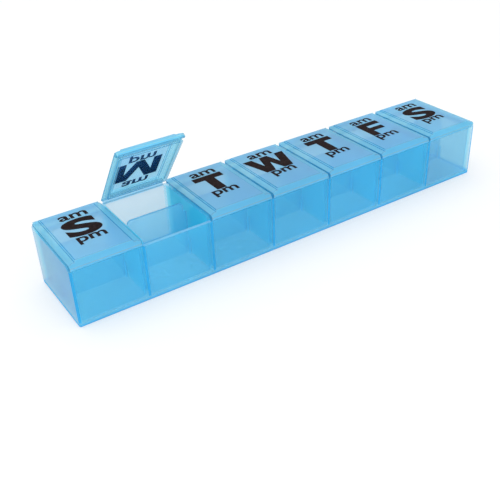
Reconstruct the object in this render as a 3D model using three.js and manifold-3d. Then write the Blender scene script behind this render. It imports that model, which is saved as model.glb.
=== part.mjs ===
// Weekly pill organizer: one tray with a row of seven bays, a drop-in divider in each bay that parts a
// morning space from an evening space, and seven lids that swing on thin bending webs along the rear rim.
// X runs along the row, Y from the front to the rear, Z up. The origin is the middle of the tray's
// underside. The Monday lid stands part open, and the other six are shut.
import * as THREE from "three";
import { mergeVertices } from "three/addons/utils/BufferGeometryUtils.js";
import Module from "manifold-3d";

const wasm = await Module();
wasm.setup();

// Driving sizes, in millimetres and degrees.

// The row of bays
const dayNames = ["sunday", "monday", "tuesday", "wednesday", "thursday", "friday", "saturday"];
const openDay = "monday";
const openAngle = 53;
const bayPitch = 30;

// The tray
const trayDepth = 38.5;
const rimHeight = 26.4;
const wallThickness = 1.5;
const partitionThickness = 1.5;
const floorThickness = 1.6;
const frontRimDrop = 1.5;
const rimSlopeRun = 1.4;
const outerCornerRadius = 0.8;
const bayCornerRadius = 1.2;
const bayFloorFillet = 0.3;
const footChamfer = 0.25;

// The guide ribs that hold a divider
const guideProud = 1;
const guideWidth = 1;
const guideHeight = 7;

// The dividers
const dividerThickness = 1.2;
const dividerRimGap = 0.4;
const dividerCornerRadius = 1.8;
const dividerSlotClearance = 0.2;
const dividerFootClearance = 0.1;
const shoulderSideClearance = 0.25;
const shoulderDropClearance = 3;

// The lids
const lidRestGap = 0.3;
const lidSideGap = 0.35;
const lidPlate = 1;
const panelRise = 0.7;
const panelSideBorder = 3.2;
const panelFrontBorder = 1.8;
const panelRearBorder = 0.9;
const panelRiserRun = 0.4;
const sideBevelRun = 1.6;
const sideBevelDrop = 0.5;
const lipFaceHeight = 1;
const lidCornerRadius = 0.6;
const recessInset = 0.9;

// The locating frame under each lid
const frameGap = 0.35;
const frameThickness = 1;
const frameDepth = 2.2;
const frameRoot = 0.4;
const frameRearSetback = 3;
const frameCornerRadius = 0.9;

// The bending webs
const webThickness = 0.35;
const webArm = 1.1;
const webEndSetback = 0.6;
const webSeatGap = 0.1;

// One overrun serves every cut, and one count every quarter turn.
const overrun = 2;
const quarterSteps = 4;

// Levels and places that follow from the sizes.
const bayCount = dayNames.length;
const trayLength = bayCount * bayPitch;
const frontFace = -trayDepth / 2;
const rearFace = trayDepth / 2;
const frontRimHeight = rimHeight - frontRimDrop;
const bayFront = frontFace + wallThickness;
const bayRear = rearFace - wallThickness;
const lidUnderside = rimHeight + lidRestGap;
const lidShoulder = lidUnderside + lidPlate;
const panelTop = lidShoulder + panelRise;
const lipUnderside = frontRimHeight + lidRestGap;
const frameUnderside = lidUnderside - frameDepth;
const shoulderHeight = frameUnderside - shoulderDropClearance;
const hingeY = rearFace + webSeatGap + webThickness;
const hingeZ = rimHeight + lidRestGap / 2;

// Where the bays meet along the row.
const boundaries = Array.from({ length: bayCount + 1 }, (_, index) => index * bayPitch - trayLength / 2);

// Where each bay and its lid begin and end along the row. The end walls are thicker than half a partition,
// so the two outer bays are a little narrower than the rest, while all seven lids are alike in width.
const bays = dayNames.map((day, index) => {
  const fromX = boundaries[index];
  const toX = boundaries[index + 1];
  const isFirst = index === 0;
  const isLast = index === bayCount - 1;
  return {
    day,
    fromX,
    toX,
    left: fromX + (isFirst ? wallThickness : partitionThickness / 2),
    right: toX - (isLast ? wallThickness : partitionThickness / 2),
    lidLeft: fromX + lidSideGap,
    lidRight: toX - lidSideGap,
  };
});

// Turns a closed three.js geometry into a solid that can be cut and joined.
function solidOf(geometry) {
  const bare = geometry.clone();
  bare.deleteAttribute("normal");
  bare.deleteAttribute("uv");
  const merged = mergeVertices(bare);
  return new wasm.Manifold(
    new wasm.Mesh({
      numProp: 3,
      vertProperties: merged.attributes.position.array,
      triVerts: new Uint32Array(merged.index.array),
    }),
  );
}

// Gives a cut or joined solid back as a flat-shaded geometry.
function geometryOf(solid) {
  const result = solid.getMesh();
  const geometry = new THREE.BufferGeometry();
  geometry.setAttribute("position", new THREE.BufferAttribute(result.vertProperties, 3));
  geometry.setIndex(new THREE.BufferAttribute(result.triVerts, 1));
  const flat = geometry.toNonIndexed();
  flat.computeVertexNormals();
  return flat;
}

function outline(points) {
  return new THREE.Shape(points.map(([u, v]) => new THREE.Vector2(u, v)));
}

function extruded(shape, length) {
  return new THREE.ExtrudeGeometry(shape, {
    depth: length,
    bevelEnabled: false,
    curveSegments: quarterSteps,
  });
}

// A prism along X whose section is drawn in (Y, Z).
function prismAlongX(shape, fromX, toX) {
  const geometry = extruded(shape, toX - fromX);
  const turn = new THREE.Matrix4().makeBasis(
    new THREE.Vector3(0, 1, 0),
    new THREE.Vector3(0, 0, 1),
    new THREE.Vector3(1, 0, 0),
  );
  return solidOf(geometry.applyMatrix4(turn).translate(fromX, 0, 0));
}

// A prism along Y whose section is drawn in (X, Z).
function prismAlongY(shape, fromY, toY) {
  const geometry = extruded(shape, toY - fromY).rotateX(Math.PI / 2);
  return solidOf(geometry.translate(0, toY, 0));
}

// A prism along Z whose section is drawn in (X, Y).
function prismAlongZ(shape, fromZ, toZ) {
  return solidOf(extruded(shape, toZ - fromZ).translate(0, 0, fromZ));
}

function box(fromX, toX, fromY, toY, fromZ, toZ) {
  const geometry = new THREE.BoxGeometry(toX - fromX, toY - fromY, toZ - fromZ);
  return solidOf(geometry.translate((fromX + toX) / 2, (fromY + toY) / 2, (fromZ + toZ) / 2));
}

// A rectangle with round corners, drawn in the plane of a shape.
function roundedRectangle(fromU, toU, fromV, toV, radius) {
  const shape = new THREE.Shape();
  shape.moveTo(fromU + radius, fromV);
  shape.lineTo(toU - radius, fromV);
  shape.absarc(toU - radius, fromV + radius, radius, -Math.PI / 2, 0);
  shape.lineTo(toU, toV - radius);
  shape.absarc(toU - radius, toV - radius, radius, 0, Math.PI / 2);
  shape.lineTo(fromU + radius, toV);
  shape.absarc(fromU + radius, toV - radius, radius, Math.PI / 2, Math.PI);
  shape.lineTo(fromU, fromV + radius);
  shape.absarc(fromU + radius, fromV + radius, radius, Math.PI, 1.5 * Math.PI);
  return shape;
}

// The tray: a rounded block with a chamfered foot, hollowed by the bays.
function trayBlock() {
  const rim = overrun + rimHeight;
  const block = new THREE.ExtrudeGeometry(
    roundedRectangle(-trayLength / 2, trayLength / 2, frontFace, rearFace, outerCornerRadius),
    {
      depth: rim - 2 * footChamfer,
      bevelThickness: footChamfer,
      bevelSize: footChamfer,
      bevelOffset: -footChamfer,
      bevelSegments: 1,
      curveSegments: quarterSteps,
    },
  ).translate(0, 0, footChamfer);
  return solidOf(block).subtract(
    box(-trayLength, trayLength, -trayDepth, trayDepth, rimHeight, rim + overrun),
  );
}

// The space inside one bay, with round corners and a round edge to its floor.
function bayVoid(bay) {
  const space = new THREE.ExtrudeGeometry(
    roundedRectangle(bay.left, bay.right, bayFront, bayRear, bayCornerRadius),
    {
      depth: rimHeight - floorThickness + overrun,
      bevelThickness: bayFloorFillet,
      bevelSize: bayFloorFillet,
      bevelOffset: -bayFloorFillet,
      bevelSegments: quarterSteps,
      curveSegments: quarterSteps,
    },
  );
  return solidOf(space.translate(0, 0, floorThickness + bayFloorFillet));
}

// What is cut from the rim, so that the front wall is lower and the rest of the rim slopes down to it.
function frontRimCut() {
  const section = outline([
    [frontFace - overrun, frontRimHeight],
    [bayFront, frontRimHeight],
    [bayFront + rimSlopeRun, rimHeight],
    [bayFront + rimSlopeRun, rimHeight + overrun],
    [frontFace - overrun, rimHeight + overrun],
  ]);
  return prismAlongX(section, -trayLength / 2 - overrun, trayLength / 2 + overrun);
}

// Four upright ribs, two on each side wall of a bay, between which the divider's ends stand.
function guideRibs(bay) {
  const slotHalf = dividerThickness / 2 + dividerSlotClearance;
  const top = floorThickness + guideHeight;
  const ribs = [];
  const rooting = partitionThickness / 4;
  for (const [fromX, toX] of [
    [bay.left - rooting, bay.left + guideProud],
    [bay.right - guideProud, bay.right + rooting],
  ]) {
    ribs.push(box(fromX, toX, slotHalf, slotHalf + guideWidth, floorThickness / 2, top));
    ribs.push(box(fromX, toX, -slotHalf - guideWidth, -slotHalf, floorThickness / 2, top));
  }
  return ribs;
}

// The tray is one moulding. It is drawn as one cell for each bay, and the cells meet face to face in the
// middle of the partitions.
function trayCell(bay) {
  const reach = box(bay.fromX, bay.toX, -trayDepth, trayDepth, -overrun, rimHeight + overrun);
  let cell = trayBlock().intersect(reach).subtract(bayVoid(bay));
  for (const rib of guideRibs(bay)) {
    cell = cell.add(rib);
  }
  return cell.subtract(frontRimCut());
}

// A divider: a plate whose ends stand between the guide ribs, with set-in upper ends that clear the lid's
// frame, and round top corners.
function dividerSolid(bay) {
  const left = bay.left + dividerSlotClearance;
  const right = bay.right - dividerSlotClearance;
  const setIn = frameGap + frameThickness + shoulderSideClearance;
  const upperLeft = bay.left + setIn;
  const upperRight = bay.right - setIn;
  const foot = floorThickness + dividerFootClearance;
  const top = rimHeight - dividerRimGap;
  const arcHeight = top - dividerCornerRadius;
  const shape = new THREE.Shape();
  shape.moveTo(left + bayFloorFillet, foot);
  shape.lineTo(right - bayFloorFillet, foot);
  shape.lineTo(right, foot + bayFloorFillet);
  shape.lineTo(right, shoulderHeight);
  shape.lineTo(upperRight, shoulderHeight);
  shape.lineTo(upperRight, arcHeight);
  shape.absarc(upperRight - dividerCornerRadius, arcHeight, dividerCornerRadius, 0, Math.PI / 2);
  shape.lineTo(upperLeft + dividerCornerRadius, top);
  shape.absarc(
    upperLeft + dividerCornerRadius, arcHeight, dividerCornerRadius, Math.PI / 2, Math.PI,
  );
  shape.lineTo(upperLeft, shoulderHeight);
  shape.lineTo(left, shoulderHeight);
  shape.lineTo(left, foot + bayFloorFillet);
  return prismAlongY(shape, -dividerThickness / 2, dividerThickness / 2);
}

// A lid's section from front to rear: the lip, the sloped nose, the raised panel and the rear edge.
function lidSideSection() {
  return outline([
    [frontFace, lipUnderside],
    [bayFront, lipUnderside],
    [bayFront + rimSlopeRun, lidUnderside],
    [rearFace, lidUnderside],
    [rearFace, lidShoulder],
    [rearFace - panelRearBorder, panelTop],
    [frontFace + panelFrontBorder, panelTop],
    [frontFace, lipUnderside + lipFaceHeight],
  ]);
}

// A lid's section from side to side: bevelled edges, a flat border and the raised panel.
function lidFrontSection(bay) {
  const { lidLeft, lidRight } = bay;
  return outline([
    [lidLeft, lipUnderside - overrun],
    [lidRight, lipUnderside - overrun],
    [lidRight, lidShoulder - sideBevelDrop],
    [lidRight - sideBevelRun, lidShoulder],
    [lidRight - panelSideBorder + panelRiserRun, lidShoulder],
    [lidRight - panelSideBorder, panelTop],
    [lidLeft + panelSideBorder, panelTop],
    [lidLeft + panelSideBorder - panelRiserRun, lidShoulder],
    [lidLeft + sideBevelRun, lidShoulder],
    [lidLeft, lidShoulder - sideBevelDrop],
  ]);
}

// The outline of a lid seen from above, with round corners.
function lidPlan(bay) {
  return roundedRectangle(bay.lidLeft, bay.lidRight, frontFace, rearFace, lidCornerRadius);
}

// The frame that drops just inside the bay's walls when the lid is shut.
function locatingFrame(bay) {
  const left = bay.left + frameGap;
  const right = bay.right - frameGap;
  const front = bayFront + frameGap;
  const rear = bayRear - frameRearSetback;
  const top = lidUnderside + frameRoot;
  const ring = prismAlongZ(
    roundedRectangle(left, right, front, rear, frameCornerRadius), frameUnderside, top,
  );
  return ring.subtract(
    box(
      left + frameThickness, right - frameThickness,
      front + frameThickness, rear - frameThickness,
      frameUnderside - overrun, top + overrun,
    ),
  );
}

// The hollow behind the raised panel, which keeps the lid's wall even.
function panelRecess(bay) {
  const inset = panelSideBorder + recessInset;
  return box(
    bay.lidLeft + inset, bay.lidRight - inset,
    bayFront + frameGap + frameThickness + recessInset,
    bayRear - frameRearSetback - frameThickness - recessInset,
    lidUnderside - overrun, lidUnderside + panelRise,
  );
}

// A lid as it lies when shut.
function lidSolid(bay) {
  return prismAlongX(lidSideSection(), bay.lidLeft, bay.lidRight)
    .intersect(prismAlongY(lidFrontSection(bay), frontFace - overrun, rearFace + overrun))
    .intersect(prismAlongZ(lidPlan(bay), lipUnderside - overrun, panelTop + overrun))
    .subtract(panelRecess(bay))
    .add(locatingFrame(bay));
}

// A web: a thin strip over the rear faces of the tray and the lid, bent about the hinge line, which runs
// along its rear surface. Round the bend the strip keeps its thickness.
function webSolid(bay, angle) {
  const bend = THREE.MathUtils.degToRad(angle);
  const shape = new THREE.Shape();
  const along = [Math.sin(bend), Math.cos(bend)];
  const inward = [-Math.cos(bend), Math.sin(bend)];
  shape.moveTo(hingeY - webThickness, hingeZ - webArm);
  shape.lineTo(hingeY, hingeZ - webArm);
  shape.lineTo(hingeY, hingeZ);
  shape.lineTo(hingeY + webArm * along[0], hingeZ + webArm * along[1]);
  shape.lineTo(
    hingeY + webArm * along[0] + webThickness * inward[0],
    hingeZ + webArm * along[1] + webThickness * inward[1],
  );
  if (bend > 0) {
    shape.absarc(hingeY, hingeZ, webThickness, Math.PI - bend, Math.PI);
  }
  return prismAlongX(shape, bay.lidLeft + webEndSetback, bay.lidRight - webEndSetback);
}

// The finish of each kind of piece, as moulded in tinted clear plastic.
function plastic(color, roughness, opacity) {
  return new THREE.MeshStandardMaterial({
    color,
    roughness,
    metalness: 0,
    transparent: true,
    opacity,
  });
}

const organizer = new THREE.Group();
organizer.name = "pill_organizer";

function addPiece(parent, name, solid, material) {
  const mesh = new THREE.Mesh(geometryOf(solid), material);
  mesh.name = name;
  parent.add(mesh);
  return mesh;
}

for (const bay of bays) {
  const angle = bay.day === openDay ? openAngle : 0;
  addPiece(organizer, `tray_bay_${bay.day}`, trayCell(bay), plastic(0x59b7ec, 0.25, 0.6));
  addPiece(organizer, `divider_${bay.day}`, dividerSolid(bay), plastic(0x7fc2ec, 0.3, 0.6));
  addPiece(organizer, `hinge_web_${bay.day}`, webSolid(bay, angle), plastic(0x6cbdf0, 0.35, 0.6));

  // The lid is drawn shut and then swung open about the hinge line.
  const swing = new THREE.Group();
  swing.position.set(0, hingeY, hingeZ);
  swing.rotation.x = -THREE.MathUtils.degToRad(angle);
  const lid = addPiece(swing, `lid_${bay.day}`, lidSolid(bay), plastic(0x92ccf0, 0.25, 0.6));
  lid.position.set(0, -hingeY, -hingeZ);
  organizer.add(swing);
}

export default organizer;
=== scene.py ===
"""A weekly pill organizer in translucent blue plastic, dressed over its fixed frame.

The tray, its dividers, the lids with their printed legends and the bending webs are shaped in
millimetres on a bench and brought to metres, and all but the webs are put on the bodies of the
frame.
"""
import logging
import math
from collections.abc import Callable, Sequence
from dataclasses import dataclass, field
from enum import Enum

import bmesh
import bpy
from mathutils import Matrix, Quaternion, Vector


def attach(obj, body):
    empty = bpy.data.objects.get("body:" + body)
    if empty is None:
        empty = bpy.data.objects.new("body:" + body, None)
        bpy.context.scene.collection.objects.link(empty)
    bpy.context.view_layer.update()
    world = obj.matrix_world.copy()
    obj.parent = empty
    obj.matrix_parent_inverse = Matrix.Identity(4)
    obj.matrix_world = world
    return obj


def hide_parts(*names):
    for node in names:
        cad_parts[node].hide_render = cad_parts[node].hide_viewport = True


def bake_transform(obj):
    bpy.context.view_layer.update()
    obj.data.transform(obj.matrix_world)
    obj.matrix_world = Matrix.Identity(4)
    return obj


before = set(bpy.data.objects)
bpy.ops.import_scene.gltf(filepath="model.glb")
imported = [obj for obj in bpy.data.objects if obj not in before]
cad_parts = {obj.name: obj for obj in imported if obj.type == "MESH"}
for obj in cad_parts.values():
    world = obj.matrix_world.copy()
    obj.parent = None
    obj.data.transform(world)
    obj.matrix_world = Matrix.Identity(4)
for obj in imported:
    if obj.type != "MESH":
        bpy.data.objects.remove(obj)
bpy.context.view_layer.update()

HAZE_MARK, TINT_MARK = "haze", "tint"

MM = 0.001
# In millimetres: two measures that are the same, how far a face's middle may lie off the surface
# that it belongs to, how far a cutter stands out past what it cuts, two points that are one, and
# the least length that is divided by or cut off.
NEAR, SKIN, CLEAR, MERGE, TINY = 0.01, 0.1, 2.0, 0.001, 0.0001
# The angles, in radians, over which an edge is a corner and under which two faces are one.
SHARP, FLAT = 1.0, math.radians(0.5)
# How much of a normal lies along an axis, where a face looks that way, partly looks that way, or
# stands along it.
FACING, LEANING, ALONG = 0.9, 0.5, 0.1
WHITE = (1, 1, 1, 1)

logging.basicConfig(level=logging.INFO, format="%(message)s")
log = logging.getLogger("organizer")

Point = tuple[float, float, float]
Colour = tuple[float, float, float]
Span = tuple[float, float]
Part = bmesh.types.BMFace | bmesh.types.BMEdge


class Day(Enum):
    """The seven bays in their order along the row, with the letter that each lid carries."""

    SUNDAY = "S"
    MONDAY = "M"
    TUESDAY = "T "
    WEDNESDAY = "W"
    THURSDAY = "T"
    FRIDAY = "F"
    SATURDAY = "S "

    @property
    def key(self) -> str:
        """The day's part of a node's name."""
        return self.name.lower()

    @property
    def letter(self) -> str:
        """The letter that the lid carries."""
        return self.value.strip()


def same(a: float, b: float) -> bool:
    """Tells whether two measures are the same."""
    return abs(a - b) < NEAR


class Bench:
    """One piece on the bench, shaped in millimetres with mesh operators."""

    def __init__(self, name: str) -> None:
        """Takes the object that was just added, and names it."""
        self.piece = bpy.context.object
        self.piece.name = name
        self.piece.data.name = name

    @staticmethod
    def clear() -> None:
        """Leaves nothing selected."""
        if bpy.context.object and bpy.context.object.mode != "OBJECT":
            bpy.ops.object.mode_set(mode="OBJECT")
        bpy.ops.object.select_all(action="DESELECT")

    def take(self) -> "Bench":
        """Selects the piece alone, as the active one."""
        self.clear()
        self.piece.select_set(True)
        bpy.context.view_layer.objects.active = self.piece
        return self

    @classmethod
    def block(cls, name: str, low: Point, high: Point) -> "Bench":
        """Starts from a block.

        Args:
            name: the piece's name.
            low: the block's lowest corner, in millimetres.
            high: its highest corner.

        Returns:
            The block on the bench.
        """
        cls.clear()
        middle = [(a + b) / 2 for a, b in zip(low, high)]
        size = [b - a for a, b in zip(low, high)]
        bpy.ops.mesh.primitive_cube_add(size=1, location=middle, scale=size)
        bench = cls(name)
        bench.apply_place()
        return bench

    @classmethod
    def section(cls, name: str, corners: Sequence[Point], run: Point) -> "Bench":
        """Starts from a flat section that is pulled along a line into a bar.

        Args:
            name: the piece's name.
            corners: the section's corners in order, in millimetres.
            run: how far, and which way, the section is pulled.

        Returns:
            The bar on the bench.
        """
        cls.clear()
        bpy.ops.mesh.primitive_circle_add(vertices=len(corners), radius=1, fill_type="NGON")
        bench = cls(name)
        for vertex, corner in zip(bench.piece.data.vertices, corners):
            vertex.co = corner
        bench.edit()
        bpy.ops.mesh.select_all(action="SELECT")
        bpy.ops.mesh.extrude_region_move(TRANSFORM_OT_translate={"value": run})
        bpy.ops.mesh.select_all(action="SELECT")
        bpy.ops.mesh.normals_make_consistent(inside=False)
        return bench.leave()

    def apply_place(self) -> None:
        """Moves the object's place, turn and scale into its mesh."""
        bpy.ops.object.transform_apply(location=True, rotation=True, scale=True)

    def edit(self) -> "Bench":
        """Goes into edit mode with nothing selected."""
        self.take()
        bpy.ops.object.mode_set(mode="EDIT")
        bpy.ops.mesh.select_mode(type="FACE")
        bpy.ops.mesh.select_all(action="DESELECT")
        return self

    def leave(self) -> "Bench":
        """Leaves edit mode."""
        bpy.ops.object.mode_set(mode="OBJECT")
        return self

    def pick(self, kind: str, wanted: Callable[[Part], bool]) -> int:
        """Selects faces or edges.

        Args:
            kind: FACE or EDGE.
            wanted: tells whether one is wanted.

        Returns:
            How many are selected.
        """
        bpy.ops.mesh.select_mode(type=kind)
        bpy.ops.mesh.select_all(action="DESELECT")
        mesh = bmesh.from_edit_mesh(self.piece.data)
        mesh.normal_update()
        chosen = [one for one in (mesh.faces if kind == "FACE" else mesh.edges) if wanted(one)]
        for one in chosen:
            one.select_set(True)
        bmesh.update_edit_mesh(self.piece.data)
        return len(chosen)

    def pick_faces(self, test: Callable[[Vector, Vector], bool]) -> int:
        """Selects faces by their middle and their normal."""
        return self.pick("FACE", lambda face: test(face.calc_center_median(), face.normal))

    def score(self, point: Point, normal: Point) -> None:
        """Cuts the selected faces along a plane and keeps both sides."""
        bpy.ops.mesh.bisect(
            plane_co=point, plane_no=normal, use_fill=False, clear_inner=False,
            clear_outer=False, threshold=TINY,
        )

    def round_off(self, width: float, segments: int,
                  test: Callable[[Vector, Vector, float], bool]) -> int:
        """Rounds edges by their place and by how sharply their faces meet.

        Args:
            width: how wide the rounding is.
            segments: how many faces it has across.
            test: tells from an edge's ends and the angle between its faces whether it is wanted.

        Returns:
            How many edges are rounded.
        """
        found = self.pick("EDGE", lambda edge: len(edge.link_faces) == 2 and test(
            edge.verts[0].co, edge.verts[1].co, edge.calc_face_angle(0.0)))
        bpy.ops.mesh.bevel(
            offset_type="OFFSET", offset=width, segments=segments, profile=0.5,
            affect="EDGES", clamp_overlap=True,
        )
        return found

    def round_upright(self, width: float, segments: int) -> None:
        """Rounds the upright edges."""
        self.round_off(width, segments, lambda a, b, _: same(a.x, b.x) and same(a.y, b.y))

    def round_foot(self, width: float, segments: int, height: float) -> None:
        """Rounds the corners round a foot that lies at a height."""
        self.round_off(width, segments, lambda a, b, angle: (
            angle > SHARP and max(a.z, b.z) < height + NEAR))

    def settle(self, rule: Callable[[Vector], Vector]) -> None:
        """Moves each point of the mesh to where a rule puts it."""
        mesh = bmesh.from_edit_mesh(self.piece.data)
        for vertex in mesh.verts:
            vertex.co = rule(vertex.co.copy())
        bmesh.update_edit_mesh(self.piece.data)

    def combine(self, other: "Bench", how: str) -> "Bench":
        """Cuts or joins another piece, which is then gone.

        Args:
            other: the piece to cut away or to join.
            how: DIFFERENCE or UNION.

        Returns:
            This bench.
        """
        self.take()
        modifier = self.piece.modifiers.new("combine", "BOOLEAN")
        modifier.operation = how
        modifier.solver = "EXACT"
        modifier.object = other.piece
        bpy.ops.object.modifier_apply(modifier=modifier.name)
        mesh = other.piece.data
        bpy.data.objects.remove(other.piece)
        bpy.data.meshes.remove(mesh)
        return self

    def tidy(self) -> "Bench":
        """Joins doubled points and faces that lie flat beside each other."""
        self.edit()
        bpy.ops.mesh.select_all(action="SELECT")
        bpy.ops.mesh.remove_doubles(threshold=MERGE)
        bpy.ops.mesh.dissolve_limited(angle_limit=FLAT)
        return self.leave()

    def twin(self, name: str, shift: Point) -> "Bench":
        """Copies the piece, with a mesh of its own, to another place.

        Args:
            name: the copy's name.
            shift: how far the copy is moved, in millimetres.

        Returns:
            The copy on a bench of its own.
        """
        self.take()
        bpy.ops.object.duplicate(linked=False)
        bpy.ops.transform.translate(value=shift)
        copy = Bench(name)
        copy.apply_place()
        return copy

    def take_in(self, others: Sequence["Bench"]) -> "Bench":
        """Makes other pieces part of this one, without cutting."""
        self.take()
        for other in others:
            other.piece.select_set(True)
        bpy.ops.object.join()
        return self

    def turn(self, matrix: Matrix) -> "Bench":
        """Turns the piece by a matrix in millimetres."""
        self.take().piece.matrix_world = matrix
        self.apply_place()
        return self

    def shade(self, choose: Callable[["Facet"], "Shade"]) -> None:
        """Gives each face the shade that the finish shows there.

        Args:
            choose: tells a face's shade.
        """
        mesh = self.piece.data
        for name in (HAZE_MARK, TINT_MARK):
            if name not in mesh.attributes:
                mesh.attributes.new(name, "FLOAT_COLOR", "FACE")
        haze, tint = mesh.attributes[HAZE_MARK].data, mesh.attributes[TINT_MARK].data
        for face in mesh.polygons:
            shade = choose(Facet.of(mesh, face))
            haze[face.index].color = (*shade.haze, shade.veil)
            tint[face.index].color = (*shade.tint, 1)

    def finish(self, material: bpy.types.Material, smooth_under: float = 40.0) -> bpy.types.Object:
        """Brings the piece to metres, smooths its shading and dresses it.

        Args:
            material: the piece's only material.
            smooth_under: the angle in degrees under which faces shade smoothly.

        Returns:
            The finished object.
        """
        self.take().piece.scale = (MM, MM, MM)
        self.apply_place()
        bpy.ops.object.shade_smooth_by_angle(angle=math.radians(smooth_under))
        self.clear()
        self.piece.data.materials.clear()
        self.piece.data.materials.append(material)
        return self.piece


# Finishes


class Nodes:
    """Adds and joins the nodes of one tree, in columns from left to right."""

    spacing = 220

    def __init__(self, tree: bpy.types.NodeTree) -> None:
        """Empties the tree."""
        self.tree = tree
        tree.nodes.clear()

    def add(self, kind: str, column: float, row: float = 0.0,
            inputs: dict[str | int, object] | None = None, **settings: object) -> bpy.types.Node:
        """Adds a node.

        Args:
            kind: the node's type.
            column: its column in the drawing.
            row: its row.
            inputs: the values of its sockets.
            **settings: plain settings of the node.

        Returns:
            The new node.
        """
        node = self.tree.nodes.new(kind)
        node.location = (column * self.spacing, -row * self.spacing)
        for name, value in settings.items():
            setattr(node, name, value)
        for name, value in (inputs or {}).items():
            node.inputs[name].default_value = value
        return node

    def join(self, *routes: tuple[bpy.types.Node, str, bpy.types.Node, str | int]) -> None:
        """Joins nodes, each route from a node's output to another node's input."""
        for source, output, target, entry in routes:
            self.tree.links.new(source.outputs[output], target.inputs[entry])


def start_material(name: str) -> tuple[bpy.types.Material, Nodes]:
    """Starts a material with an empty node tree, and gives both."""
    material = bpy.data.materials.new(name)
    material.use_nodes = True
    return material, Nodes(material.node_tree)


def moulding_group() -> bpy.types.NodeTree:
    """Builds the moulded surface that every plastic finish shares.

    Returns:
        The group, with a fine grain and slow waves as Height, and a soft mottle as Mottle.
    """
    title = "Moulded surface"
    if title in bpy.data.node_groups:
        return bpy.data.node_groups[title]
    group = bpy.data.node_groups.new(title, "ShaderNodeTree")
    sockets = group.interface
    sockets.new_socket(name="Vector", in_out="INPUT", socket_type="NodeSocketVector")
    for name, default in (("Grain Scale", 2600.0), ("Wave Scale", 60.0), ("Grain Share", 0.35)):
        made = sockets.new_socket(name=name, in_out="INPUT", socket_type="NodeSocketFloat")
        made.default_value = default
    for name in ("Height", "Mottle"):
        sockets.new_socket(name=name, in_out="OUTPUT", socket_type="NodeSocketFloat")
    nodes = Nodes(group)
    entry = nodes.add("NodeGroupInput", 0)
    leave = nodes.add("NodeGroupOutput", 4)
    grain = nodes.add("ShaderNodeTexNoise", 1, 0, {"Detail": 3})
    wave = nodes.add("ShaderNodeTexNoise", 1, 1, {"Detail": 2})
    mottle = nodes.add("ShaderNodeTexNoise", 1, 2, {"Scale": 28, "Detail": 4})
    mix = nodes.add("ShaderNodeMix", 2.5, 0.5)
    nodes.join(
        (entry, "Vector", grain, "Vector"),
        (entry, "Vector", wave, "Vector"),
        (entry, "Vector", mottle, "Vector"),
        (entry, "Grain Scale", grain, "Scale"),
        (entry, "Wave Scale", wave, "Scale"),
        (entry, "Grain Share", mix, "Factor"),
        (wave, "Fac", mix, "A"),
        (grain, "Fac", mix, "B"),
        (mix, "Result", leave, "Height"),
        (mottle, "Fac", leave, "Mottle"),
    )
    return group


@dataclass(frozen=True)
class Shade:
    """How one part of a moulding looks.

    Attributes:
        tint: the colour that one surface gives to the light that passes it.
        haze: the colour of the haze.
        veil: the share of the light that the haze of one surface keeps back, seen square on.
    """

    tint: Colour
    haze: Colour
    veil: float


@dataclass(frozen=True)
class Facet:
    """One face of a mesh, as its shade is chosen.

    Attributes:
        centre: the middle of the face, in millimetres.
        normal: the way it faces.
        width: how wide it is across its longest side.
    """

    centre: Vector
    normal: Vector
    width: float

    @classmethod
    def of(cls, mesh: bpy.types.Mesh, face: bpy.types.MeshPolygon) -> "Facet":
        """Reads a face."""
        points = [mesh.vertices[index].co for index in face.vertices]
        longest = max((a - b).length for a, b in zip(points, points[1:] + points[:1]))
        return cls(face.center.copy(), face.normal.copy(), face.area / max(longest, TINY))


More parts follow.
